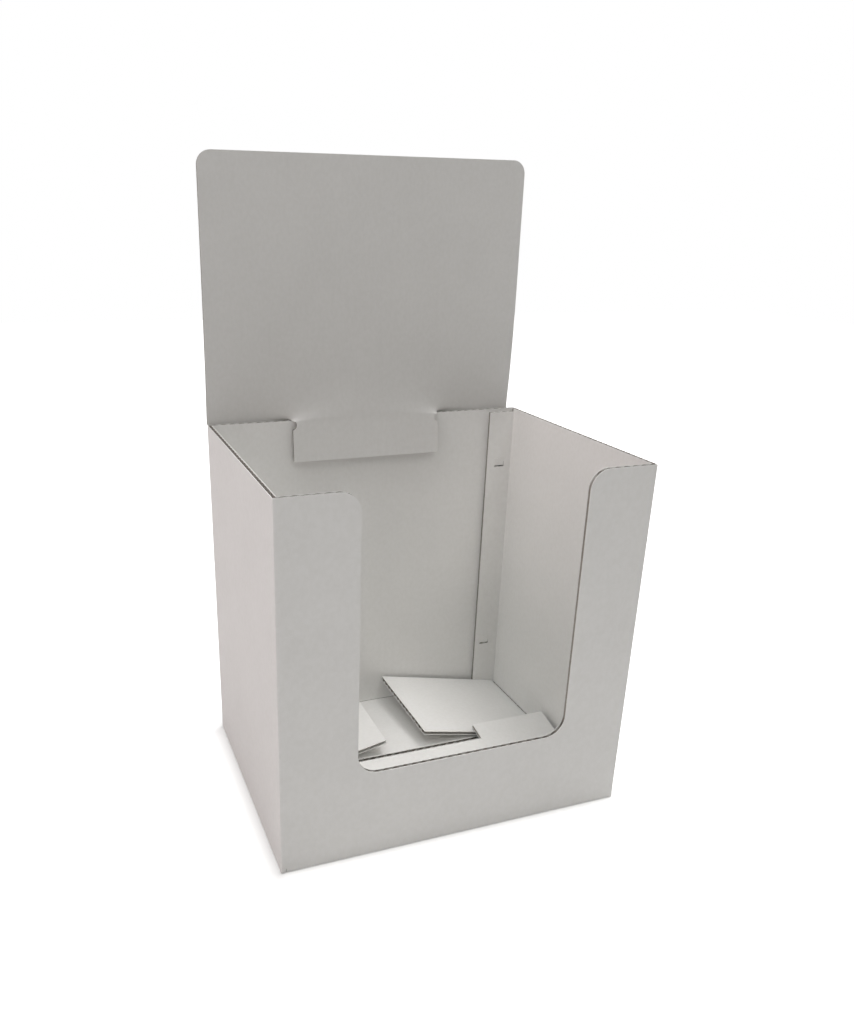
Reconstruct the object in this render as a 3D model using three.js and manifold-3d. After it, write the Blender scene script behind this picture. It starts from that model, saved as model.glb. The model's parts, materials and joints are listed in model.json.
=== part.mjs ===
// A countertop dump bin: one corrugated blank folded into an open box, and a header card slotted on its back.
// Millimetres, +Z up, +Y towards the back. The bin stands on z = 0.
import * as THREE from 'three';
import { mergeVertices } from 'three/addons/utils/BufferGeometryUtils.js';
import Module from 'manifold-3d';

const wasm = await Module();
wasm.setup();

// Overall sizes of the folded bin, outside to outside
const width = 240;
const depth = 180;
const height = 241;

// Board: a waved medium between two liners, with its flutes open at every edge cut across them
const board = 3;
const liner = 0.45;
const medium = 0.4;
const flutePitch = 6.24;
const fluteCrest = 1.5; // width of the medium's flat where it meets a liner
const fluteFoot = 4.3; // width of a flute's mouth along the far liner
const fluteMargin = 1; // solid board kept beside an edge that runs along the flutes
const seam = 0.1; // a score line between two panels of the same blank
const fit = 0.3; // running clearance beside anything that moves
const creaseRound = 1.5; // rounding of the edge that the bin stands on

// Front cut-out
const cutWidth = 144.4;
const cutShift = 1.5; // of its middle line, to the right of the bin's
const cutSill = 60.4;
const sillRadius = 14;
const postRadius = 12.5;

// Joint flange, folded from the right panel and locked to the inside of the back panel
const flangeWidth = 20.2;
const flangeDrop = 2; // below the wall top
const tabWidth = 8;
const tabHeight = 6;
const tabPush = THREE.MathUtils.degToRad(8); // how far a pressed-in tab leans back
const tabSpare = THREE.MathUtils.degToRad(32); // further travel before its root gives
const tabSlit = 0.8; // opening under a tab's free end
const upperSlitDrop = 45.3; // from the wall top to the slit under the upper tab
const lowerSlitRise = 40.3; // from the ground to the slit under the lower tab
const upperTabShift = -0.4; // from the flange's middle line, away from the corner
const lowerTabShift = 1.9;

// Bottom flaps
const frontFlapPast = 0.5; // how far the front flap reaches past the middle of the bin, laid flat
const frontTongue = 15.7; // of its middle, bent down under the back flap, from the bend to the free edge
const earSlit = 63; // from a side crease to the slit that parts an ear from the front flap's middle
const earGap = 3.3; // from a side crease to an ear's end
const backFlapTilt = THREE.MathUtils.degToRad(5.45); // the creases spring the bottom up a little
const backFlapPast = 6; // how far the back flap reaches past the middle, laid flat
const backFlapTuck = 4.5; // how far its corners reach under the ears
const backFlapInset = 26.7; // from a side crease to the back flap's corner at its own crease
const rightFlapShort = 12.4; // how far the right flap stays short of the bin's middle line
const leftFlapShort = 18.4;
const sideFlapFront = -5; // where a side flap's front edge lies, from the middle of the bin

// Header card
const headerInset = 6; // its right end from the bin's right side; its left end is flush
const headerRise = 174; // above the wall top
const headerDrop = 31; // of tongue and wings below the wall top
const headerRadius = 9;
const tongueWidth = 113;
const slitWidth = 0.6;
const slitHole = 5; // round hole that ends a slit
const slitHoleRise = 2; // its middle above the wall top
const bendSteps = 6;

const arcSegments = 6;

// Faces and hinge lines that the pieces share
const halfWidth = width / 2;
const halfDepth = depth / 2;
const innerWidth = halfWidth - board;
const innerDepth = halfDepth - board;
const sideHinge = innerWidth - fit;
const frontHinge = -innerDepth + fit;
const backHinge = innerDepth - fit;
const flangeBack = innerDepth - fit;
const flangeFront = flangeBack - board;
const wallFoot = board;
const cutLeft = cutShift - cutWidth / 2;
const cutRight = cutShift + cutWidth / 2;
const frontFlapLength = frontFlapPast - frontHinge;
const frontBend = frontFlapLength - frontTongue;
const frontSlit = sideHinge - earSlit;
const backFlapLength = backHinge + backFlapPast;
const backFlapTip = frontSlit + backFlapTuck;
const backFlapRoot = sideHinge - backFlapInset;
const headerWidth = width - headerInset;
const cardOffset = board + fit; // from the wall's middle to the middle of a tongue or wing
const cardBack = halfDepth + fit + board;

// A closed mesh as a solid that can be joined and cut
function solidOf(geometry) {
  const bare = geometry.clone();
  bare.deleteAttribute('normal');
  bare.deleteAttribute('uv');
  const merged = mergeVertices(bare, 1e-4);
  return new wasm.Manifold(new wasm.Mesh({
    numProp: 3,
    vertProperties: Float32Array.from(merged.attributes.position.array),
    triVerts: Uint32Array.from(merged.index.array),
  }));
}

function geometryOf(solid) {
  const mesh = solid.getMesh();
  const geometry = new THREE.BufferGeometry();
  geometry.setAttribute('position', new THREE.BufferAttribute(mesh.vertProperties, 3));
  geometry.setIndex(new THREE.BufferAttribute(mesh.triVerts, 1));
  geometry.computeVertexNormals();
  return geometry;
}

function extrude(shape, length) {
  return new THREE.ExtrudeGeometry(shape, { depth: length, bevelEnabled: false, curveSegments: arcSegments });
}

// An outline in two axes, given as a shape, drawn out along X: shape x runs along Y and shape y along Z
function extrudeAlongX(shape, length) {
  const turn = new THREE.Matrix4().makeBasis(
    new THREE.Vector3(0, 1, 0),
    new THREE.Vector3(0, 0, 1),
    new THREE.Vector3(1, 0, 0),
  );
  return extrude(shape, length).translate(0, 0, -length / 2).applyMatrix4(turn);
}

function polygon(points) {
  return new THREE.Shape(points.map(([x, y]) => new THREE.Vector2(x, y)));
}

function rectangle(left, bottom, right, top) {
  return polygon([[left, bottom], [right, bottom], [right, top], [left, top]]);
}

// The mouth of one flute in the board's section, lying on the near liner or, turned over, on the far one
function fluteMouth(middle, turnedOver) {
  const foot = turnedOver ? board - liner : liner;
  const crest = turnedOver ? liner + medium : board - liner - medium;
  const corners = [
    [middle - fluteFoot / 2, foot],
    [middle + fluteFoot / 2, foot],
    [middle + fluteCrest / 2, crest],
    [middle - fluteCrest / 2, crest],
  ];
  return polygon(turnedOver ? corners.reverse() : corners);
}

// All the flutes that fit between two edges, as solids to cut away from one level to another along y
function flutes([left, right], [from, to]) {
  const turn = new THREE.Matrix4().makeBasis(
    new THREE.Vector3(1, 0, 0),
    new THREE.Vector3(0, 0, 1),
    new THREE.Vector3(0, -1, 0),
  );
  const room = right - left - 2 * fluteMargin - fluteFoot;
  const halfPitches = Math.floor(room / (flutePitch / 2));
  const first = (left + right - halfPitches * flutePitch / 2) / 2;
  const cells = [];
  for (let index = 0; index <= halfPitches; index += 1) {
    const mouth = fluteMouth(first + index * flutePitch / 2, index % 2 === 1);
    cells.push(solidOf(extrude(mouth, to - from).applyMatrix4(turn).translate(0, to, 0)));
  }
  return cells;
}

// A sheet of board cut to an outline: x across the flutes, y along them, z through the board. Each bay is a
// stretch of x, between edges that run along the flutes, that is filled with open flutes.
function sheet(outline, bays) {
  const flat = extrude(outline, board);
  flat.computeBoundingBox();
  const { min, max } = flat.boundingBox;
  const levels = [min.y - board, max.y + board];
  const cells = bays.flatMap((bay) => flutes(bay, levels));
  return geometryOf(cells.reduce((solid, cell) => solid.subtract(cell), solidOf(flat)));
}

const paper = { roughness: 0.85, metalness: 0 };

function piece(name, geometry, color) {
  const mesh = new THREE.Mesh(geometry, new THREE.MeshStandardMaterial({ color, ...paper }));
  mesh.name = name;
  return mesh;
}

const outerWhite = 0xcfcdca;
const innerWhite = 0xc6c5c0;
const floorWhite = 0xd8d6d2;
const cardWhite = 0xc4c3be;

const bin = new THREE.Group();

// A wall stands its sheet up, outline y along Z, with the sheet's z = board face at the given distance
function standFrontToBack(mesh, y) {
  mesh.rotation.x = Math.PI / 2;
  mesh.position.y = y;
  bin.add(mesh);
}

function standLeftToRight(mesh, x) {
  const turned = new THREE.Group();
  turned.rotation.z = Math.PI / 2;
  turned.position.x = x;
  mesh.rotation.x = Math.PI / 2;
  turned.add(mesh);
  bin.add(turned);
}

// Front panel with its U cut-out, open at the top
function frontOutline() {
  const end = innerWidth - seam;
  const postTop = height - postRadius;
  const sillTop = cutSill + sillRadius;
  const shape = new THREE.Shape();
  shape.moveTo(-end, wallFoot);
  shape.lineTo(end, wallFoot);
  shape.lineTo(end, height);
  shape.lineTo(cutRight + postRadius, height);
  shape.absarc(cutRight + postRadius, postTop, postRadius, Math.PI / 2, Math.PI, false);
  shape.lineTo(cutRight, sillTop);
  shape.absarc(cutRight - sillRadius, sillTop, sillRadius, 0, -Math.PI / 2, true);
  shape.lineTo(cutLeft + sillRadius, cutSill);
  shape.absarc(cutLeft + sillRadius, sillTop, sillRadius, -Math.PI / 2, -Math.PI, true);
  shape.lineTo(cutLeft, postTop);
  shape.absarc(cutLeft - postRadius, postTop, postRadius, 0, Math.PI / 2, false);
  shape.lineTo(-end, height);
  return shape;
}
const frontBays = [[seam - innerWidth, cutLeft], [cutLeft, cutRight], [cutRight, innerWidth - seam]];
standFrontToBack(piece('front_panel', sheet(frontOutline(), frontBays), outerWhite), -innerDepth);

// Side panels: the right one ends at the crease of the flange, inside the back panel
function sidePanel(name, frontEnd, backEnd) {
  const outline = rectangle(frontEnd, wallFoot, backEnd, height);
  return piece(name, sheet(outline, [[frontEnd, backEnd]]), outerWhite);
}
standLeftToRight(sidePanel('left_panel', seam - innerDepth, innerDepth - seam), -halfWidth);
standLeftToRight(sidePanel('right_panel', seam - innerDepth, flangeFront - seam), innerWidth);

// The opening of a lock tab, the same in the flange and in the back panel behind it
const flangeMiddle = innerWidth - flangeWidth / 2;
const lockTabs = [
  { name: 'upper_lock_tab', middle: flangeMiddle - upperTabShift, slitHeight: height - upperSlitDrop },
  { name: 'lower_lock_tab', middle: flangeMiddle - lowerTabShift, slitHeight: lowerSlitRise },
];
function tabOpening({ middle, slitHeight }) {
  const half = tabWidth / 2 + fit;
  const top = slitHeight + tabSlit + tabHeight + fit;
  return rectangle(middle - half, slitHeight, middle + half, top);
}

// Back panel and joint flange carry the openings of the lock tabs
function lockedSheet(left, right, top) {
  const outline = rectangle(left, wallFoot, right, top);
  outline.holes.push(...lockTabs.map(tabOpening));
  return sheet(outline, [[left, right]]);
}

// The back panel's right end is a cut edge, flush with the outside of the right panel
const backSheet = lockedSheet(seam - innerWidth, halfWidth, height);
standFrontToBack(piece('back_panel', backSheet, innerWhite), halfDepth);
const flangeSheet = lockedSheet(innerWidth - flangeWidth, innerWidth - seam, height - flangeDrop);
standFrontToBack(piece('joint_flange', flangeSheet, innerWhite), flangeBack);

// Lock tabs: each hangs from the front top edge of its opening and leans back into the back panel
function lockTab({ name, middle, slitHeight }) {
  const rootBevel = board * Math.tan(tabPush + tabSpare);
  const profile = polygon([[0, -tabHeight], [board, -tabHeight], [board, -rootBevel], [0, 0]]);
  const mesh = piece(name, extrudeAlongX(profile, tabWidth), innerWhite);
  mesh.rotation.x = tabPush;
  mesh.position.set(middle, flangeFront, slitHeight + tabSlit + tabHeight);
  return mesh;
}
bin.add(...lockTabs.map(lockTab));

// Corner creases: a quarter round of board between two panels
function cornerCrease(name, x, y, startAngle, foot, top) {
  const shape = new THREE.Shape();
  shape.moveTo(0, 0);
  shape.absarc(0, 0, board, startAngle, startAngle + Math.PI / 2, false);
  const mesh = piece(name, extrude(shape, top - foot), outerWhite);
  mesh.position.set(x, y, foot);
  return mesh;
}
bin.add(
  cornerCrease('front_left_crease', -innerWidth, -innerDepth, Math.PI, 0, height),
  cornerCrease('front_right_crease', innerWidth, -innerDepth, -Math.PI / 2, 0, height),
  cornerCrease('back_left_crease', -innerWidth, innerDepth, Math.PI / 2, 0, height),
  cornerCrease('flange_crease', innerWidth, flangeFront, 0, wallFoot, height - flangeDrop),
);

// Bottom creases: the edge under a wall, rounded outside, that the bin stands on
function bottomCrease(name, length) {
  const top = wallFoot - seam;
  const shape = new THREE.Shape();
  shape.moveTo(board, 0);
  shape.lineTo(board, top);
  shape.lineTo(0, top);
  shape.lineTo(0, creaseRound);
  shape.absarc(creaseRound, creaseRound, creaseRound, Math.PI, 1.5 * Math.PI, false);
  return piece(name, extrudeAlongX(shape, length), outerWhite);
}

// Each bottom crease lies along X with its outside towards -Y, then is turned to its wall
function placeAlongWall(mesh, turn, outside, along) {
  const turned = new THREE.Group();
  turned.rotation.z = turn;
  mesh.position.set(along, -outside, 0);
  turned.add(mesh);
  bin.add(turned);
}
const longCrease = 2 * (innerWidth - seam);
const leftCrease = 2 * (innerDepth - seam);
const rightCreaseEnd = flangeFront - seam;
const rightCrease = rightCreaseEnd + innerDepth - seam;
const rightMiddle = rightCreaseEnd - rightCrease / 2;
placeAlongWall(bottomCrease('front_bottom_crease', longCrease), 0, halfDepth, 0);
placeAlongWall(bottomCrease('back_bottom_crease', longCrease), Math.PI, halfDepth, 0);
placeAlongWall(bottomCrease('left_bottom_crease', leftCrease), -Math.PI / 2, halfWidth, 0);
placeAlongWall(bottomCrease('right_bottom_crease', rightCrease), Math.PI / 2, halfWidth, rightMiddle);

// How far a flap turns to touch a point: the point's distance and height from its hinge, and how far the face
// that touches lies beyond the hinge
function touchTilt(distance, rise, offset) {
  const reach = Math.hypot(distance, rise);
  return Math.atan2(rise, distance) + Math.asin(offset / reach);
}

// The front and back flaps turn at the foot of their creases, the side flaps and ears at the top, so that the
// first two can hang down in line with their walls and the others can fold up against theirs. The side flaps
// rest on the slanting edges of the back flap.
function backFlapTop(y) {
  return (backHinge - y) * Math.tan(backFlapTilt) + board / Math.cos(backFlapTilt);
}
function backFlapHalf(y) {
  const share = (backHinge - y) / (backFlapLength * Math.cos(backFlapTilt));
  return THREE.MathUtils.lerp(backFlapRoot, backFlapTip, Math.min(share, 1));
}
function tiltOnBackFlap(y) {
  return touchTilt(sideHinge - backFlapHalf(y), backFlapTop(y) + fit - board, board);
}
const sideFlapBack = flangeFront - fit;
const sideFlapTilt = Math.max(tiltOnBackFlap(sideFlapFront), tiltOnBackFlap(sideFlapBack));
const rightFlapLength = (sideHinge - rightFlapShort) / Math.cos(sideFlapTilt);
const leftFlapLength = (sideHinge - leftFlapShort) / Math.cos(sideFlapTilt);

// The ears rest on the front edges of the side flaps
const earInner = frontSlit + fit / 2;
const sideFlapTopAtEar = board + (sideHinge - earInner) * Math.tan(sideFlapTilt);
const earTilt = touchTilt(sideFlapFront - frontHinge, sideFlapTopAtEar + fit - board, board);

// The front flap's middle lies level with its ears as far as the bend, then goes down under the back flap
const bendAt = {
  y: frontHinge + frontBend * Math.cos(earTilt),
  z: frontBend * Math.sin(earTilt),
};
const backEdge = {
  y: backHinge - backFlapLength * Math.cos(backFlapTilt),
  z: backFlapLength * Math.sin(backFlapTilt) - fit,
};
const frontBendTurn = earTilt + touchTilt(backEdge.y - bendAt.y, bendAt.z - backEdge.z, board);

// A flap's geometry runs away from its hinge along y; turn is where that points, from +Y
function hangFlap(name, geometry, { x, y, turn, tilt, hingeHeight }) {
  const hinge = new THREE.Group();
  hinge.position.set(x, y, hingeHeight);
  hinge.rotation.z = turn;
  const mesh = piece(name, geometry.translate(0, 0, -hingeHeight), floorWhite);
  mesh.rotation.x = tilt;
  hinge.add(mesh);
  bin.add(hinge);
}

function hangSquareFlap(name, left, right, length, hinge) {
  hangFlap(name, sheet(rectangle(left, fit, right, length), [[left, right]]), hinge);
}

// The middle of the front flap, bent down at its tongue. The bend crushes the board, so the flutes of its two
// legs stop short of it.
function frontFlap() {
  const half = frontSlit - fit / 2;
  const down = [Math.cos(frontBendTurn), -Math.sin(frontBendTurn)];
  const end = [frontBend + frontTongue * down[0], frontTongue * down[1]];
  const section = polygon([
    [fit, 0],
    [frontBend, 0],
    end,
    [end[0] - board * down[1], end[1] + board * down[0]],
    [frontBend + board * Math.tan(frontBendTurn / 2), board],
    [fit + board * Math.tan(earTilt), board],
  ]);
  const rootCells = flutes([-half, half], [-board, frontBend - board]);
  const tongueCells = flutes([-half, half], [board, frontTongue + board]).map((cell) => (
    cell.rotate([-THREE.MathUtils.radToDeg(frontBendTurn), 0, 0]).translate([0, frontBend, 0])
  ));
  const solid = solidOf(extrudeAlongX(section, 2 * half));
  return geometryOf([...rootCells, ...tongueCells].reduce((rest, cell) => rest.subtract(cell), solid));
}

const earOuter = sideHinge - earGap;
const frontTurn = { x: 0, y: frontHinge, turn: 0, tilt: earTilt, hingeHeight: 0 };
const earTurn = { ...frontTurn, hingeHeight: board };
hangFlap('front_bottom_flap', frontFlap(), frontTurn);
hangSquareFlap('front_flap_right_ear', earInner, earOuter, frontFlapLength, earTurn);
hangSquareFlap('front_flap_left_ear', -earOuter, -earInner, frontFlapLength, earTurn);

function backFlapOutline() {
  return polygon([
    [-backFlapRoot, fit],
    [backFlapRoot, fit],
    [backFlapTip, backFlapLength],
    [-backFlapTip, backFlapLength],
  ]);
}
const backTurn = { x: 0, y: backHinge, turn: Math.PI, tilt: backFlapTilt, hingeHeight: 0 };
hangFlap('back_bottom_flap', sheet(backFlapOutline(), [[-backFlapTip, backFlapTip]]), backTurn);

const sideTurn = { y: 0, tilt: sideFlapTilt, hingeHeight: board };
const rightTurn = { ...sideTurn, x: sideHinge, turn: Math.PI / 2 };
const leftTurn = { ...sideTurn, x: -sideHinge, turn: -Math.PI / 2 };
hangSquareFlap('right_bottom_flap', sideFlapFront, sideFlapBack, rightFlapLength, rightTurn);
hangSquareFlap('left_bottom_flap', -sideFlapBack, -sideFlapFront, leftFlapLength, leftTurn);

// Header card: an outline cut out of a card that is flexed round the wall's top edge, with its tongue in
// front of the wall and its wings behind. In its own frame the wall's top is at z = 0, its middle at y = 0.
function headerOutline() {
  const half = headerWidth / 2;
  const shape = new THREE.Shape();
  shape.moveTo(-half, -headerDrop);
  shape.lineTo(half, -headerDrop);
  shape.lineTo(half, headerRise - headerRadius);
  shape.absarc(half - headerRadius, headerRise - headerRadius, headerRadius, 0, Math.PI / 2, false);
  shape.lineTo(headerRadius - half, headerRise);
  shape.absarc(headerRadius - half, headerRise - headerRadius, headerRadius, Math.PI / 2, Math.PI, false);
  return shape;
}

// The card spreads round the wall between the wall's top edge and the tops of the round holes
const bendTop = slitHoleRise + slitHole / 2;

// A strip of card in section: to one side of the wall below its top edge, and bent back to the middle above
function stripSection(side) {
  const middle = [[side * cardOffset, -headerDrop]];
  for (let step = 0; step <= bendSteps; step += 1) {
    const share = step / bendSteps;
    const lean = side * cardOffset * (1 - THREE.MathUtils.smoothstep(share, 0, 1));
    middle.push([lean, THREE.MathUtils.lerp(fit, bendTop, share)]);
  }
  middle.push([0, bendTop + board]);
  const frontFace = middle.map(([y, z]) => [y - board / 2, z]);
  const backFace = middle.map(([y, z]) => [y + board / 2, z]);
  return polygon([...backFace, ...frontFace.reverse()]);
}

// A cutter through the card's whole spread, for an outline in x and z
function throughCard(outline) {
  const reach = 4 * cardOffset;
  return solidOf(extrude(outline, reach).translate(0, 0, -reach / 2).rotateX(Math.PI / 2));
}

// The bend crushes the card, so its flutes run in from the top and lower edges and stop short of it
function headerFlutes(slitAt) {
  const half = headerWidth / 2;
  const clear = slitHole / 2;
  const tongueBay = [clear - slitAt, slitAt - clear];
  const wingBays = [[-half, -slitAt - clear], [slitAt + clear, half]];
  const upper = [bendTop + board, headerRise + board];
  const lower = [-headerDrop - board, -board];
  const stand = (cells, y) => cells.map((cell) => cell.rotate([90, 0, 0]).translate([0, y + board / 2, 0]));
  return [
    ...[tongueBay, ...wingBays].flatMap((bay) => stand(flutes(bay, upper), 0)),
    ...stand(flutes(tongueBay, lower), -cardOffset),
    ...wingBays.flatMap((bay) => stand(flutes(bay, lower), cardOffset)),
  ];
}

function headerCard() {
  const slitAt = (tongueWidth + slitWidth) / 2;
  const half = headerWidth / 2;
  const wingWidth = half - slitAt;
  const tongue = solidOf(extrudeAlongX(stripSection(-1), 2 * slitAt));
  const wing = solidOf(extrudeAlongX(stripSection(1), wingWidth));
  const upright = rectangle(-board / 2, bendTop, board / 2, headerRise);
  let card = solidOf(extrudeAlongX(upright, headerWidth)).add(tongue);
  for (const side of [-1, 1]) {
    card = card.add(wing.translate([side * (half - wingWidth / 2), 0, 0]));
  }
  card = card.intersect(throughCard(headerOutline()));
  for (const middle of [-slitAt, slitAt]) {
    const slit = rectangle(middle - slitWidth / 2, -headerDrop - board, middle + slitWidth / 2, slitHoleRise);
    const hole = new THREE.Shape().absarc(middle, slitHoleRise, slitHole / 2, 0, 2 * Math.PI, false);
    card = card.subtract(throughCard(slit)).subtract(throughCard(hole));
  }
  return geometryOf(headerFlutes(slitAt).reduce((solid, cell) => solid.subtract(cell), card));
}
const header = piece('header_card', headerCard(), cardWhite);
header.position.set(-headerInset / 2, halfDepth - board / 2, height);
bin.add(header);

// The origin is under the middle of the whole object, and the wings stand proud of the back
bin.position.y = -(cardBack - halfDepth) / 2;

export default bin;
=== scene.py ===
# A countertop dump bin of white corrugated board: one folded blank, and a header card on its back wall.
# Metres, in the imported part's frame: +Z up, +Y towards the back wall.
import json
import math
from collections import namedtuple

import bmesh
import bpy
import numpy as np
from mathutils import Matrix, Vector
from mathutils.geometry import delaunay_2d_cdt


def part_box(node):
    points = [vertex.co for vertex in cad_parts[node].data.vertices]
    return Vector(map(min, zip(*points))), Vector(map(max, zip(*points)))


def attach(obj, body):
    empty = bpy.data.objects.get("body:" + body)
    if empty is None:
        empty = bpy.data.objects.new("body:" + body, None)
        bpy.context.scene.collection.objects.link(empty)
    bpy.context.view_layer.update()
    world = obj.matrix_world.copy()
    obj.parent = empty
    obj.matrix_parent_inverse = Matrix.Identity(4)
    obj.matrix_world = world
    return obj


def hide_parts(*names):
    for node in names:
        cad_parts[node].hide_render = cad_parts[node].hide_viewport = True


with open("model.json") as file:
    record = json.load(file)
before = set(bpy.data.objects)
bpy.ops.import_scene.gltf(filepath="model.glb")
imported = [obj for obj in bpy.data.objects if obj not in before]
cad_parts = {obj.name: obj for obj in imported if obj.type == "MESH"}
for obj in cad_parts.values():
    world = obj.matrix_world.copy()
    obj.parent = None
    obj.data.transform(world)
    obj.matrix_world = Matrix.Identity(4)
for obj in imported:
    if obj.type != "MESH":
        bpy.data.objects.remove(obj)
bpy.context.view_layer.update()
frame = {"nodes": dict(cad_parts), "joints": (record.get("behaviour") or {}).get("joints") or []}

MM = 0.001

# Slack
TINY = 1e-9  # between two places along the blank that count as one
MERGE = 1e-7  # between two points of a cut outline that count as one
SAME_ROW = 0.1 * MM  # between points that lie on one edge of a flap
SAME_FACE = 0.01 * MM  # between points that lie on one face of a flap

# Board: a waved medium glued between two liners
LINER = 0.45 * MM
MEDIUM = 0.25 * MM
FLUTE_PITCH = 6.24 * MM
LINER_DIP = 0.03 * MM  # how far a liner sags between the lines where it is glued to the medium
GLUE_GAP = 0.02 * MM
LINER_STEPS = 4  # columns of faces in one pitch of a liner
MEDIUM_STEPS = 10  # and of the medium

# Creases
INNER_ROUND = 0.3 * MM  # radius inside a fold
OUTER_ROUND = 1 * MM  # and outside it
CORNER_STEPS = 8  # columns of faces round a corner
FOOT_STEPS = 5  # rows of faces where a wall turns under, and beside the root of a flap or tab
CORNER_FOOT = 0.5 * MM  # how far a corner ends above the counter
SLOT = 0.3 * MM  # cut between a corner and the bottom crease beside it
ROOT_CRUSH = 0.3  # share of its thickness that a flap loses where it is creased
ROOT_REACH = 4 * MM  # where the crush has faded
SLIT_CLOSE = 0.12 * MM  # how far the front flap and an ear are each let out towards the slit between them
BEND_ROUND = 3 * MM  # inside the bend of the front flap
BEND_STEPS = 8
FLANGE_FOOT = 0.6 * MM  # how far the joint flange ends above the counter
SHARP_TURN = math.radians(40)  # edges that turn more than this are shaded sharp

# Front cut-out
CUT_WIDTH = 144.4 * MM
CUT_SHIFT = 1.5 * MM  # of its middle line, to the right
CUT_SILL = 60.4 * MM  # height of the sill
SILL_RADIUS = 14 * MM
POST_RADIUS = 12.5 * MM
ARC_STEPS = 10  # straight stretches in a quarter circle

# Lock tabs
TAB_SLIT = 0.8 * MM  # opening under a tab's free end
TAB_SIDE_GAP = 0.1 * MM
TAB_ROOT_GAP = 0.02 * MM
TAB_ROOT_REACH = 2.6 * MM  # from the root, where a tab has its whole thickness
TAB_ROOT_LEAST = 0.01  # share of its thickness that a tab keeps at its root

# Header card
TONGUE_WIDTH = 113 * MM
SLIT_WIDTH = 0.6 * MM
SLIT_HOLE_RADIUS = 3.2 * MM
SLIT_HOLE_RISE = -2.8 * MM  # of its middle above the wall top
HEADER_RADIUS = 9 * MM
FLEX_TOP = 90 * MM  # above the wall top, where the card is flat again
FLEX_STEPS = 18  # rows of faces up to there
TWIST_START = 0.3 * MM  # half width of the twist above a slit's round hole
TWIST_SPREAD = 3  # how fast the twist widens above the hole
TONGUE_LEAN = 2.6 * MM  # of its foot, forward
TONGUE_SHIFT = -1 * MM  # of its middle line, to the left
TONGUE_LIFT = 2.2 * MM  # of its foot, above the wings' lower edge
WING_TRIM = 2 * MM  # off each side under the wall top
WING_EASE = 4 * MM  # how far under it the trim is whole
HEADER_TRIM = 0.4 * MM  # off each side
HEADER_TAPER = 0.95 * MM  # and more off each side at the top
HEADER_TILT = 1 * MM  # of the top edge, down at the left and up at the right

UP = Vector((0, 0, 1))
BACK = Vector((0, 1, 0))

# The faces that the folded walls share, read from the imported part
front_low, front_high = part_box("front_panel")
_, left_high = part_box("left_panel")
right_low, right_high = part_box("right_panel")
back_low, back_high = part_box("back_panel")
flange_low, flange_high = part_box("joint_flange")
header_low, header_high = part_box("header_card")
BOARD = right_high.x - right_low.x
WALL_TOP = right_high.z
joints = {joint["name"]: joint for joint in frame["joints"]}


# Flat outlines
def arc(centre, radius, start, end, steps=ARC_STEPS):
    """Points of a round stretch, angles in degrees, both ends included."""
    angles = [math.radians(start + (end - start) * step / steps) for step in range(steps + 1)]
    return [(centre[0] + radius * math.cos(a), centre[1] + radius * math.sin(a)) for a in angles]


def rectangle(left, bottom, right, top):
    return [(left, bottom), (right, bottom), (right, top), (left, top)]


def spaced(low, high, step):
    """Multiples of a step that lie between two values."""
    first = math.ceil(low / step)
    last = math.floor(high / step)
    return [index * step for index in range(first, last + 1)]


def inside(points, loops):
    """Which points lie inside the loops: an odd number of edges to their right."""
    found = np.zeros(len(points), bool)
    across, up = points[:, 0], points[:, 1]
    for loop in loops:
        for (x0, y0), (x1, y1) in zip(loop, loop[1:] + loop[:1]):
            if y0 == y1:
                continue
            meets = x0 + (up - y0) * (x1 - x0) / (y1 - y0)
            found ^= ((up < y0) != (up < y1)) & (across < meets)
    return found


def triangulate(loops, columns, rows):
    """A flat outline with holes, cut along every column and row, as points and triangles."""
    points, edges = [], []
    for loop in loops:
        start = len(points)
        points.extend(Vector(point) for point in loop)
        edges.extend((start + i, start + (i + 1) % len(loop)) for i in range(len(loop)))
    u_low, v_low = np.min(loops[0], axis=0)
    u_high, v_high = np.max(loops[0], axis=0)
    lines = [((u, v_low), (u, v_high)) for u in columns if u_low < u < u_high]
    lines += [((u_low, v), (u_high, v)) for v in rows if v_low < v < v_high]
    for line in lines:
        edges.append((len(points), len(points) + 1))
        points.extend(Vector(end) for end in line)
    found, _, triangles, *_ = delaunay_2d_cdt(points, edges, [], 0, MERGE, False)
    flat = np.array([tuple(point) for point in found])
    corners = np.array(triangles)
    corners = corners[inside(flat[corners].mean(axis=1), loops)]
    used, corners = np.unique(corners, return_inverse=True)
    return flat[used].tolist(), corners.reshape(-1, 3).tolist()


# Corrugated board
class Shell:
    """Closed slabs of sheet that are gathered into one mesh."""

    def __init__(self):
        self.points = []
        self.faces = []

    def add(self, flat, under, top, place):
        """One slab over a flat outline, between two heights that depend on the place across the flutes."""
        points, triangles = flat
        first = len(self.points)
        second = first + len(points)
        for height in (under, top):
            self.points.extend(place(u, v, height(u)) for u, v in points)
        edges = {(t[i - 1], t[i]) for t in triangles for i in range(3)}
        for a, b, c in triangles:
            self.faces.append((first + c, first + b, first + a))
            self.faces.append((second + a, second + b, second + c))
        for a, b in sorted(edges):
            if (b, a) not in edges:
                self.faces.append((first + a, first + b, second + b, second + a))

    def piece(self, name, material):
        mesh = bpy.data.meshes.new(name)
        mesh.from_pydata(self.points, [], self.faces)
        tidy = bmesh.new()
        tidy.from_mesh(mesh)
        bmesh.ops.recalc_face_normals(tidy, faces=tidy.faces)
        tidy.to_mesh(mesh)
        tidy.free()
        mesh.shade_smooth()
        mesh.set_sharp_from_angle(angle=SHARP_TURN)
        mesh.materials.append(material)
        found = bpy.data.objects.new(name, mesh)
        bpy.context.scene.collection.objects.link(found)
        return found


def wave(u):
    return math.cos(2 * math.pi * u / FLUTE_PITCH)


def inner_face(u):
    return LINER_DIP * (1 + wave(u)) / 2


def outer_face(u):
    return BOARD - LINER_DIP * (1 - wave(u)) / 2


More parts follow.
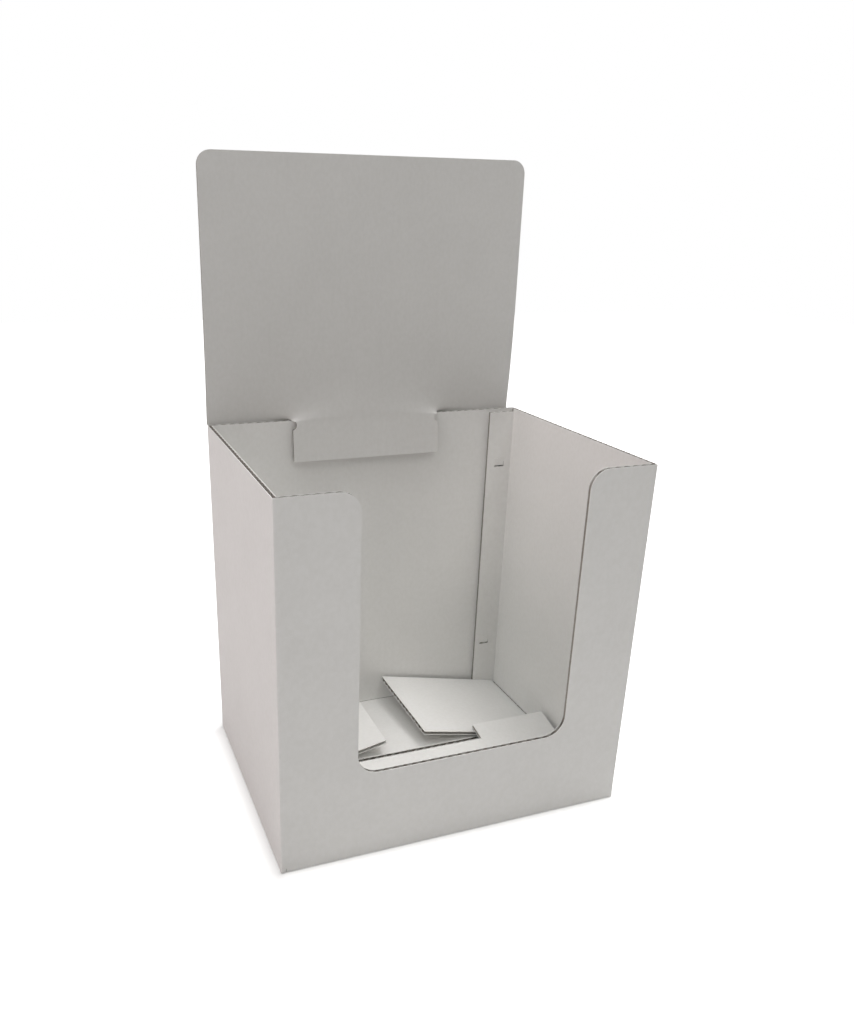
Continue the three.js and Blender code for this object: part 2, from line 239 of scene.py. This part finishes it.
def medium_middle(u):
    return BOARD / 2 + (BOARD / 2 - LINER - LINER_DIP - GLUE_GAP - MEDIUM / 2) * wave(u)


def medium_half(u):
    """Half the medium's height through the board, more where it slopes."""
    step = FLUTE_PITCH / MEDIUM_STEPS / 2
    slope = (medium_middle(u + step) - medium_middle(u - step)) / (2 * step)
    return MEDIUM / 2 * math.hypot(1, slope)


def inner_liner_back(u):
    return inner_face(u) + LINER


def outer_liner_back(u):
    return outer_face(u) - LINER


def medium_under(u):
    return medium_middle(u) - medium_half(u)


def medium_top(u):
    return medium_middle(u) + medium_half(u)


Look = namedtuple("Look", "slot liner medium")


def corrugated(name, body, nodes, look, loops, place, columns=(), rows=()):
    """A piece of board: its two liners, which stand for the CAD nodes, and the medium between them."""
    u_low = min(u for u, v in loops[0])
    u_high = max(u for u, v in loops[0])
    liner_columns = spaced(u_low, u_high, FLUTE_PITCH / LINER_STEPS) + list(columns)
    medium_columns = spaced(u_low, u_high, FLUTE_PITCH / MEDIUM_STEPS) + list(columns)
    liners = Shell()
    flat = triangulate(loops, liner_columns, rows)
    liners.add(flat, inner_face, inner_liner_back, place)
    liners.add(flat, outer_liner_back, outer_face, place)
    sheet = liners.piece(name, look.liner)
    flutes = Shell()
    flat = triangulate(loops, medium_columns, rows)
    flutes.add(flat, medium_under, medium_top, place)
    core = flutes.piece(name + "_flutes", look.medium)
    for piece in (sheet, core):
        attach(piece, body)
    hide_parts(*nodes)


# Creases
def corner_sizes(depth):
    """At a depth in the board: a corner's radius, the straight on each side of it, and its whole length."""
    radius = INNER_ROUND + (OUTER_ROUND - INNER_ROUND) * depth / BOARD
    straight = INNER_ROUND + depth - radius
    return radius, straight, 2 * straight + radius * math.pi / 2


def turn(share, depth):
    """Round a square corner: how far along the first panel and out of it, from the inner corner."""
    radius, straight, length = corner_sizes(depth)
    gone = share * length
    if gone < straight:
        return gone - INNER_ROUND, depth
    if gone > length - straight:
        return depth, length - gone - INNER_ROUND
    angle = (gone - straight) / radius
    centre = depth - radius
    return centre + radius * math.sin(angle), centre + radius * math.cos(angle)


CORNER = corner_sizes(BOARD / 2)[2]  # length of a corner on the flat blank
FOOT = BOARD + INNER_ROUND  # where a wall starts to turn under
FOOT_END = FOOT - CORNER

# A leg is a flat panel of the blank: its inner face in plan, and where it lies along the unfolded blank
Leg = namedtuple("Leg", "start along out begin end")


def blank_legs():
    """Joint flange, right, front, left and back panel, in their order along the blank."""
    corners = [
        Vector((flange_low.x, flange_low.y)),
        Vector((right_low.x, flange_low.y)),
        Vector((right_low.x, front_high.y)),
        Vector((left_high.x, front_high.y)),
        Vector((left_high.x, back_low.y)),
        Vector((right_high.x, back_low.y)),
    ]
    legs = []
    begin = 0
    for index in range(len(corners) - 1):
        start, stop = corners[index], corners[index + 1]
        along = (stop - start).normalized()
        out = Vector((-along.y, along.x))
        length = (stop - start).length
        if index > 0:
            start = start + along * INNER_ROUND
            length -= INNER_ROUND
        if index < len(corners) - 2:
            length -= INNER_ROUND
        legs.append(Leg(start, along, out, begin, begin + length))
        begin += length + CORNER
    return legs


legs = blank_legs()
flange_leg, right_leg, front_leg, left_leg, back_leg = legs


def leg_at(u):
    """The last leg that begins at or before a place along the blank."""
    found = legs[0]
    for leg in legs:
        if leg.begin <= u + TINY:
            found = leg
    return found


def place_on_blank(u, v, w):
    """Fold a point of the flat blank: u along it, v up it, w out of its inner face."""
    leg = leg_at(u)
    if u > leg.end + TINY and leg is not back_leg:
        ahead, out = turn((u - leg.end) / CORNER, w)
        inner_corner = leg.start + leg.along * (leg.end - leg.begin + INNER_ROUND)
        plan = inner_corner + leg.along * ahead + leg.out * out
        return plan.x, plan.y, v
    plan = leg.start + leg.along * (u - leg.begin)
    if v >= FOOT or leg is flange_leg:
        plan = plan + leg.out * w
        return plan.x, plan.y, v
    down, out = turn(min((FOOT - v) / CORNER, 1), w)
    plan = plan + leg.out * out
    return plan.x, plan.y, BOARD - down


def cut_out(middle):
    """Top edge of the front panel, from its left end on the blank to its right end, with the U cut-out."""
    half = CUT_WIDTH / 2
    post_high = WALL_TOP - POST_RADIUS
    sill_high = CUT_SILL + SILL_RADIUS
    return [
        *arc((middle + half + POST_RADIUS, post_high), POST_RADIUS, 90, 180),
        *arc((middle + half - SILL_RADIUS, sill_high), SILL_RADIUS, 0, -90),
        *arc((middle - half + SILL_RADIUS, sill_high), SILL_RADIUS, -90, -180),
        *arc((middle - half - POST_RADIUS, post_high), POST_RADIUS, 0, 90),
    ]


def foot_of(leg, end):
    """Lower edge of a wall: cut free of the corners beside it, then turned under."""
    begin = leg.begin + SLOT
    return [(leg.begin, FOOT), (begin, FOOT), (begin, FOOT_END), (end, FOOT_END), (end, FOOT)]


def blank_outline():
    """The unfolded walls, from the flange's free edge to the back panel's."""
    lower = [(flange_leg.begin, FLANGE_FOOT), (flange_leg.end, FLANGE_FOOT), (right_leg.begin, FLANGE_FOOT)]
    for leg in (right_leg, front_leg, left_leg):
        lower += foot_of(leg, leg.end - SLOT)
        lower += [(leg.end, FOOT), (leg.end, CORNER_FOOT), (leg.end + CORNER, CORNER_FOOT)]
    back_foot_end = back_leg.end - BOARD - SLOT
    lower += foot_of(back_leg, back_foot_end)
    lower += [(back_leg.end, FOOT)]
    front_half = right_low.x - INNER_ROUND  # the front leg runs from the right to the left
    middle = front_leg.begin + front_half - CUT_SHIFT
    upper = [(back_leg.end, WALL_TOP)] + cut_out(middle)
    upper += [(flange_leg.end, WALL_TOP), (flange_leg.end, flange_high.z)]
    upper += [(flange_leg.begin, flange_high.z)]
    return lower + upper


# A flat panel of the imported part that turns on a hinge: u along the hinge, v away from it and w through the
# board, with how far the panel reaches along each
Flat = namedtuple("Flat", "origin u v w root tip near far under")


def flat_of(node, joint, facing):
    """Axes and extent of a flap or tab, with w towards the given side."""
    mesh = frame["nodes"][node].data
    w = max(mesh.polygons, key=lambda polygon: polygon.area).normal.copy()
    if w.dot(facing) < 0:
        w.negate()
    origin = Vector(joints[joint]["pos_m"])
    u = Vector(joints[joint]["axis"])
    v = w.cross(u)
    offsets = [vertex.co - origin for vertex in mesh.vertices]
    if sum(offset.dot(v) for offset in offsets) < 0:
        v.negate()
    reach = [offset.dot(v) for offset in offsets]
    near, far = min(reach), max(reach)
    spans = []
    for level in (near, far):
        along = [offset.dot(u) for offset, at in zip(offsets, reach) if abs(at - level) < SAME_ROW]
        spans.append((min(along), max(along)))
    under = min(offset.dot(w) for offset in offsets)
    return Flat(origin, u, v, w, spans[0], spans[1], near, far, under)


def place_on_flat(flat, thickness):
    """A function that lays board on a flat panel, with its thickness a share that depends on v."""
    def place(u, v, w):
        height = flat.under + w * thickness(v)
        return flat.origin + flat.u * u + flat.v * v + flat.w * height
    return place


def flap_thickness(v):
    """A flap is crushed beside its crease."""
    return 1 - ROOT_CRUSH * max(0, 1 - v / ROOT_REACH) ** 2


def tab_thickness(v):
    """A tab thins to its root, so that it can lean."""
    return min(1, max(TAB_ROOT_LEAST, v / TAB_ROOT_REACH))


def tab_opening(node, joint, leg):
    """The opening of a lock tab in a panel of the blank."""
    low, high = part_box(node)
    tab = flat_of(node, joint, BACK)
    left = leg.begin + low.x - TAB_SIDE_GAP - leg.start.x
    right = leg.begin + high.x + TAB_SIDE_GAP - leg.start.x
    return rectangle(left, tab.origin.z - tab.far - TAB_SLIT, right, tab.origin.z + TAB_ROOT_GAP)


# Materials
def nodes_of(material):
    material.use_nodes = True
    tree = material.node_tree
    tree.nodes.clear()
    output = tree.nodes.new("ShaderNodeOutputMaterial")
    shader = tree.nodes.new("ShaderNodeBsdfPrincipled")
    tree.links.new(shader.outputs["BSDF"], output.inputs["Surface"])
    return tree, shader


def noise(tree, scale, detail, stretch=(1, 1, 1)):
    """Noise in the object's own metres, finer where an axis is stretched."""
    place = tree.nodes.new("ShaderNodeTexCoord")
    mapping = tree.nodes.new("ShaderNodeMapping")
    mapping.inputs["Scale"].default_value = stretch
    texture = tree.nodes.new("ShaderNodeTexNoise")
    texture.inputs["Scale"].default_value = scale
    texture.inputs["Detail"].default_value = detail
    tree.links.new(place.outputs["Object"], mapping.inputs["Vector"])
    tree.links.new(mapping.outputs["Vector"], texture.inputs["Vector"])
    return texture.outputs["Fac"]


def ramp(tree, value, stops, colours):
    """From the first colour at the first stop to the second colour at the second stop."""
    found = tree.nodes.new("ShaderNodeValToRGB")
    for element, position, colour in zip(found.color_ramp.elements, stops, colours):
        element.position = position
        element.color = (*colour, 1)
    tree.links.new(value, found.inputs["Fac"])
    return found.outputs["Color"]


def mixed(tree, blend, share, first, second):
    found = tree.nodes.new("ShaderNodeMix")
    found.data_type = "RGBA"
    found.blend_type = blend
    found.inputs["Factor"].default_value = share
    tree.links.new(first, found.inputs["A"])
    tree.links.new(second, found.inputs["B"])
    return found.outputs["Result"]


def ranged(tree, value, low, high, start=0, end=1):
    """From low, where the value is at the start, to high, where it is at the end."""
    found = tree.nodes.new("ShaderNodeMapRange")
    found.inputs["From Min"].default_value = start
    found.inputs["From Max"].default_value = end
    found.inputs["To Min"].default_value = low
    found.inputs["To Max"].default_value = high
    tree.links.new(value, found.inputs["Value"])
    return found.outputs["Result"]


def calculated(tree, operation, first, second=None):
    """One step of arithmetic on node values; a plain number is set on the socket itself."""
    found = tree.nodes.new("ShaderNodeMath")
    found.operation = operation
    tree.links.new(first, found.inputs[0])
    if isinstance(second, float):
        found.inputs[1].default_value = second
    elif second is not None:
        tree.links.new(second, found.inputs[1])
    return found.outputs["Value"]


def bumped(tree, value, depth):
    found = tree.nodes.new("ShaderNodeBump")
    found.inputs["Strength"].default_value = 1
    found.inputs["Distance"].default_value = depth
    tree.links.new(value, found.inputs["Height"])
    return found.outputs["Normal"]


CLOUD_SCALE = 28  # soft clouds in the white coating, per metre
CLOUD_DETAIL = 4
CLOUD_STOPS = (0.3, 0.7)  # noise values of the darkest and the lightest cloud
FIBRE_SCALE = 420  # fibres, per metre
FIBRE_DETAIL = 3
FIBRE_STRETCH = (1, 1, 0.7)
FIBRE_STOPS = (0.35, 0.65)
PAPER_TOOTH = 0.02 * MM
PAPER_ROUGHNESS = (0.72, 0.95)
PAPER_GLOSS = 0.25


def paper(name, shade, light, fibre_shade, fibre_light):
    """A matt paper surface: clouds of tone, fine fibres and a slight tooth."""
    material = bpy.data.materials.new(name)
    tree, shader = nodes_of(material)
    cloud = noise(tree, CLOUD_SCALE, CLOUD_DETAIL)
    fibre = noise(tree, FIBRE_SCALE, FIBRE_DETAIL, FIBRE_STRETCH)
    tone = ramp(tree, cloud, CLOUD_STOPS, (shade, light))
    threads = ramp(tree, fibre, FIBRE_STOPS, (fibre_shade, fibre_light))
    tree.links.new(mixed(tree, "MULTIPLY", 1, tone, threads), shader.inputs["Base Color"])
    tree.links.new(ranged(tree, fibre, *PAPER_ROUGHNESS), shader.inputs["Roughness"])
    tree.links.new(bumped(tree, fibre, PAPER_TOOTH), shader.inputs["Normal"])
    shader.inputs["Specular IOR Level"].default_value = PAPER_GLOSS
    return material


# Each paper's colours in shade and in light
BIN_WHITE = ((0.89, 0.88, 0.86), (0.91, 0.90, 0.88))
# the header card's paper is darker than the bin's; part of that is painted shade, for the dimmer light on the
# card's face
HEADER_WHITE = ((0.77, 0.76, 0.74), (0.79, 0.78, 0.76))
MEDIUM_GREY = ((0.36, 0.335, 0.305), (0.42, 0.39, 0.355))
LINER_FIBRES = ((0.97, 0.97, 0.965), (1.0, 1.0, 1.0))
MEDIUM_FIBRES = ((0.85, 0.84, 0.82), (1.0, 1.0, 1.0))
wall_liner = paper("white_wall_liner", *BIN_WHITE, *LINER_FIBRES)
floor_liner = paper("white_floor_liner", *BIN_WHITE, *LINER_FIBRES)
header_liner = paper("white_header_liner", *HEADER_WHITE, *LINER_FIBRES)
flute_paper = paper("grey_brown_medium", *MEDIUM_GREY, *MEDIUM_FIBRES)

wall_look = Look("wall_board", wall_liner, flute_paper)
floor_look = Look("bottom_board", floor_liner, flute_paper)
header_look = Look("header_board", header_liner, flute_paper)


# Folded walls, and the lock tabs in their openings
TABS = [
    ("upper_lock_tab", "upper_tab_push", "upper_tab"),
    ("lower_lock_tab", "lower_tab_push", "lower_tab"),
]


def build_walls():
    openings = [tab_opening(node, joint, leg) for node, joint, _ in TABS for leg in (flange_leg, back_leg)]
    corner_columns = []
    for leg in legs[:-1]:
        corner_columns += [leg.end + CORNER * step / CORNER_STEPS for step in range(CORNER_STEPS + 1)]
    foot_rows = [FOOT - CORNER * step / FOOT_STEPS for step in range(FOOT_STEPS)]
    nodes = [
        "front_panel", "left_panel", "right_panel", "back_panel", "joint_flange",
        "front_left_crease", "front_right_crease", "back_left_crease", "flange_crease",
        "front_bottom_crease", "back_bottom_crease", "left_bottom_crease", "right_bottom_crease",
    ]
    loops = [blank_outline(), *openings]
    corrugated("folded_walls", "bin", nodes, wall_look, loops, place_on_blank, corner_columns, foot_rows)


# Bottom flaps, each on its own hinge, with how far each side is let out towards the slit beside it
FLAPS = [
    ("back_bottom_flap", "back_flap_drop", "back_flap", 0, 0),
    ("front_flap_right_ear", "right_ear_lift", "right_ear", SLIT_CLOSE, 0),
    ("front_flap_left_ear", "left_ear_lift", "left_ear", 0, SLIT_CLOSE),
    ("right_bottom_flap", "right_flap_lift", "right_flap", 0, 0),
    ("left_bottom_flap", "left_flap_lift", "left_flap", 0, 0),
]
root_rows = [ROOT_REACH * step / FOOT_STEPS for step in range(1, FOOT_STEPS + 1)]


def build_flap(node, joint, body, let_out_low, let_out_high):
    flat = flat_of(node, joint, UP)
    outline = [
        (flat.root[0] - let_out_low, flat.near),
        (flat.root[1] + let_out_high, flat.near),
        (flat.tip[1] + let_out_high, flat.far),
        (flat.tip[0] - let_out_low, flat.far),
    ]
    place = place_on_flat(flat, flap_thickness)
    corrugated("visible_" + node, body, [node], floor_look, [outline], place, rows=root_rows)


def build_front_flap():
    """The middle of the front flap: level with its ears, then bent down under the back flap's edge."""
    node = "front_bottom_flap"
    flat = flat_of(node, "front_flap_drop", UP)
    offsets = [vertex.co - flat.origin for vertex in frame["nodes"][node].data.vertices]
    section = [(offset.dot(flat.v), offset.dot(flat.w)) for offset in offsets]
    bend = max(v for v, w in section if abs(w) < SAME_FACE)
    end = min(section, key=lambda point: point[1])
    angle = math.atan2(-end[1], end[0] - bend)
    pull = BEND_ROUND * math.tan(angle / 2)
    start = bend - pull
    arc_length = BEND_ROUND * angle
    far = start + arc_length + math.hypot(end[0] - bend, end[1]) - pull

    def place(u, v, w):
        height = w * flap_thickness(v)
        turned = min(max(v - start, 0) / BEND_ROUND, angle)
        beyond = max(v - start - arc_length, 0)
        radius = BEND_ROUND + height
        ahead = min(v, start) + radius * math.sin(turned) + beyond * math.cos(turned)
        up = radius * math.cos(turned) - BEND_ROUND - beyond * math.sin(turned)
        return flat.origin + flat.u * u + flat.v * ahead + flat.w * up

    half = flat.root[1] + SLIT_CLOSE
    rows = root_rows + [start + arc_length * step / BEND_STEPS for step in range(BEND_STEPS + 1)]
    outline = rectangle(-half, flat.near, half, far)
    corrugated("visible_" + node, "front_flap", [node], floor_look, [outline], place, rows=rows)


def build_tab(node, joint, body):
    flat = flat_of(node, joint, BACK)
    outline = rectangle(flat.tip[0], 0, flat.tip[1], flat.far)
    rows = [TAB_ROOT_REACH * step / FOOT_STEPS for step in range(1, FOOT_STEPS + 1)]
    place = place_on_flat(flat, tab_thickness)
    corrugated("visible_" + node, body, [node], wall_look, [outline], place, rows=rows)


# Header card, flexed round the wall's top edge: its tongue in front of the wall and its wings behind
header_half = (header_high.x - header_low.x) / 2
header_middle = (header_high.x + header_low.x) / 2
header_drop = WALL_TOP - header_low.z
header_rise = header_high.z - WALL_TOP
wall_middle = (back_low.y + back_high.y) / 2
card_offset = header_high.y - BOARD / 2 - wall_middle
slit_at = (TONGUE_WIDTH + SLIT_WIDTH) / 2


def slit_outline(middle, left_foot, right_foot):
    """Up one side of a slit, round its hole and down the other side."""
    half = SLIT_WIDTH / 2
    mouth = math.degrees(math.asin(half / SLIT_HOLE_RADIUS))
    hole = arc((middle, SLIT_HOLE_RISE), SLIT_HOLE_RADIUS, 270 - mouth, -90 + mouth, 4 * ARC_STEPS)
    return [(middle - half, left_foot), *hole, (middle + half, right_foot)]


def header_outline():
    high = header_rise - HEADER_RADIUS
    side = header_half - HEADER_RADIUS
    wing_foot = -header_drop
    tongue_foot = TONGUE_LIFT - header_drop
    return [
        (-header_half, wing_foot),
        *slit_outline(TONGUE_SHIFT - slit_at, wing_foot, tongue_foot),
        *slit_outline(TONGUE_SHIFT + slit_at, tongue_foot, wing_foot),
        (header_half, wing_foot),
        *arc((side, high), HEADER_RADIUS, 0, 90),
        *arc((-side, high), HEADER_RADIUS, 90, 180),
    ]


def smooth(share):
    share = min(max(share, 0), 1)
    return share * share * (3 - 2 * share)


def header_flex(x, z):
    """How far the card leaves the wall's middle plane: forward at the tongue, back at the wings."""
    past = abs(x - TONGUE_SHIFT) - slit_at
    if z <= 0:
        lean = TONGUE_LEAN * z / header_drop if past < 0 else 0
        return math.copysign(card_offset, past) + lean
    twist = TWIST_START + TWIST_SPREAD * z
    across = past / math.hypot(past, twist)
    return card_offset * across * (1 - smooth(z / FLEX_TOP))


def place_on_header(u, v, w):
    """Stand the flexed card on the wall; it is a little out of square, and its wings are trimmed."""
    up = max(v, 0) / header_rise
    side = u / header_half
    wing = max(abs(u - TONGUE_SHIFT) - slit_at, 0) / (header_half - slit_at)
    under = min(max(-v, 0) / WING_EASE, 1)
    trim = HEADER_TRIM + up * HEADER_TAPER
    x = header_middle + u - side * trim - math.copysign(wing * under * WING_TRIM, u)
    y = wall_middle + header_flex(u, v) + w - BOARD / 2
    z = WALL_TOP + v + side * up * HEADER_TILT
    return x, y, z


def build_header():
    flex_rows = [FLEX_TOP * (step / FLEX_STEPS) ** 2 for step in range(FLEX_STEPS + 1)] + [-WING_EASE]
    corrugated(
        "flexed_header_card", "header", ["header_card"], header_look, [header_outline()], place_on_header,
        rows=flex_rows,
    )


build_walls()
build_front_flap()
for flap in FLAPS:
    build_flap(*flap)
for tab in TABS:
    build_tab(*tab)
build_header()


# Stage: a pale floor that keeps the bin's shadow, a white world and soft lamps
FLOOR_SIDE = 6
FLOOR_GAP = 0.2 * MM  # under the bin
FLOOR_LIGHT = (0.93, 0.93, 0.92)
FLOOR_DIMMING = 0.985  # share of the light that is left in the clouds
FLOOR_SHADE = [FLOOR_DIMMING * channel for channel in FLOOR_LIGHT]
FLOOR_CLOUD_SCALE = 2  # soft clouds in the floor, per metre
FLOOR_CLOUD_DETAIL = 2
FLOOR_ROUGHNESS = 0.9
GLOW_START = -6 * MM  # from the bin's foot, where the floor starts to glow
GLOW_REACH = 18 * MM  # and where it glows in full
WORLD_STRENGTH = 0.02  # as a light; the camera sees the world as white
WHITE = (1, 1, 1, 1)


def outside_bin(tree):
    """How much the floor glows: nothing under the bin, more with the distance from its foot."""
    place = tree.nodes.new("ShaderNodeTexCoord")
    split = tree.nodes.new("ShaderNodeSeparateXYZ")
    tree.links.new(place.outputs["Object"], split.inputs["Vector"])
    past = []
    for axis, half in (("X", right_high.x), ("Y", -front_low.y)):
        size = calculated(tree, "ABSOLUTE", split.outputs[axis])
        past.append(calculated(tree, "SUBTRACT", size, half))
    farther = calculated(tree, "MAXIMUM", *past)
    return ranged(tree, farther, 0, 1, GLOW_START, GLOW_REACH)


def floor_material():
    """A pale floor that the camera sees as white away from the bin."""
    material = bpy.data.materials.new("pale_floor")
    tree, shader = nodes_of(material)
    cloud = noise(tree, FLOOR_CLOUD_SCALE, FLOOR_CLOUD_DETAIL)
    tone = ramp(tree, cloud, CLOUD_STOPS, (FLOOR_SHADE, FLOOR_LIGHT))
    tree.links.new(tone, shader.inputs["Base Color"])
    shader.inputs["Roughness"].default_value = FLOOR_ROUGHNESS
    shader.inputs["Specular IOR Level"].default_value = 0
    shader.inputs["Emission Color"].default_value = WHITE
    path = tree.nodes.new("ShaderNodeLightPath")
    glow = calculated(tree, "MULTIPLY", path.outputs["Is Camera Ray"], outside_bin(tree))
    tree.links.new(glow, shader.inputs["Emission Strength"])
    return material


def build_floor():
    mesh = bpy.data.meshes.new("floor")
    half = FLOOR_SIDE / 2
    corners = [(x, y, -FLOOR_GAP) for x, y in rectangle(-half, -half, half, half)]
    mesh.from_pydata(corners, [], [(0, 1, 2, 3)])
    mesh.materials.append(floor_material())
    floor = bpy.data.objects.new("floor", mesh)
    bpy.context.scene.collection.objects.link(floor)


def build_world():
    world = bpy.data.worlds.new("white_studio")
    world.use_nodes = True
    tree = world.node_tree
    tree.nodes.clear()
    output = tree.nodes.new("ShaderNodeOutputWorld")
    background = tree.nodes.new("ShaderNodeBackground")
    path = tree.nodes.new("ShaderNodeLightPath")
    seen = calculated(tree, "MAXIMUM", path.outputs["Is Camera Ray"], path.outputs["Is Glossy Ray"])
    tree.links.new(ranged(tree, seen, WORLD_STRENGTH, 1), background.inputs["Strength"])
    background.inputs["Color"].default_value = WHITE
    tree.links.new(background.outputs["Background"], output.inputs["Surface"])
    bpy.context.scene.world = world


BIN_MIDDLE = Vector((0, 0, 0.15))  # what the lamps face
Lamp = namedtuple("Lamp", "name place size power colour")
LAMPS = [
    Lamp("left_softbox", (-2.4, -0.2, 1.0), 1.6, 17, (1.0, 0.87, 0.87)),
    Lamp("right_softbox", (2.4, -0.3, 1.2), 1.6, 8.3, (1.0, 0.975, 0.95)),
    Lamp("top_left_softbox", (-1.1, -0.3, 2.6), 1.2, 14.8, (0.95, 0.985, 1.0)),
    Lamp("top_right_softbox", (0.55, 0.0, 2.7), 1.0, 19, (1.0, 0.98, 0.97)),
    Lamp("back_right_softbox", (1.2, 0.5, 2.2), 1.2, 20.6, (0.97, 0.97, 1.0)),
    Lamp("front_softbox", (0.2, -1.8, 2.4), 1.4, 12.4, (0.99, 1.0, 0.97)),
]


def build_lamp(lamp):
    light = bpy.data.lights.new(lamp.name, "AREA")
    light.shape = "SQUARE"
    light.size = lamp.size
    light.energy = lamp.power
    light.color = lamp.colour
    holder = bpy.data.objects.new(lamp.name, light)
    holder.location = lamp.place
    holder.rotation_euler = (BIN_MIDDLE - Vector(lamp.place)).to_track_quat("-Z", "Y").to_euler()
    holder.visible_camera = False
    bpy.context.scene.collection.objects.link(holder)


# Camera at the photograph's viewing angle
IMAGE_WIDTH, IMAGE_HEIGHT = 854, 1024
FOCAL_PIXELS = 880.4
AXIS_PIXEL = (375.4, 566.2)  # where the lens axis meets the image
CAMERA_PLACE = Vector((-0.2252, -0.5156, 0.3758))
CAMERA_AIM = Vector((0.3338, 0.8683, -0.3668))
CAMERA_ROLL = math.radians(1.21)
SENSOR = 36  # millimetres


def build_camera():
    data = bpy.data.cameras.new("camera")
    data.sensor_width = SENSOR
    data.lens = SENSOR * FOCAL_PIXELS / IMAGE_HEIGHT
    data.shift_x = (IMAGE_WIDTH / 2 - AXIS_PIXEL[0]) / IMAGE_HEIGHT
    data.shift_y = (AXIS_PIXEL[1] - IMAGE_HEIGHT / 2) / IMAGE_HEIGHT
    camera = bpy.data.objects.new("camera", data)
    turned = CAMERA_AIM.to_track_quat("-Z", "Y").to_matrix() @ Matrix.Rotation(CAMERA_ROLL, 3, "Z")
    camera.matrix_world = Matrix.Translation(CAMERA_PLACE) @ turned.to_4x4()
    bpy.context.scene.collection.objects.link(camera)
    bpy.context.scene.camera = camera


build_floor()
build_world()
for lamp in LAMPS:
    build_lamp(lamp)
build_camera()
bpy.context.scene.view_settings.view_transform = "Standard"
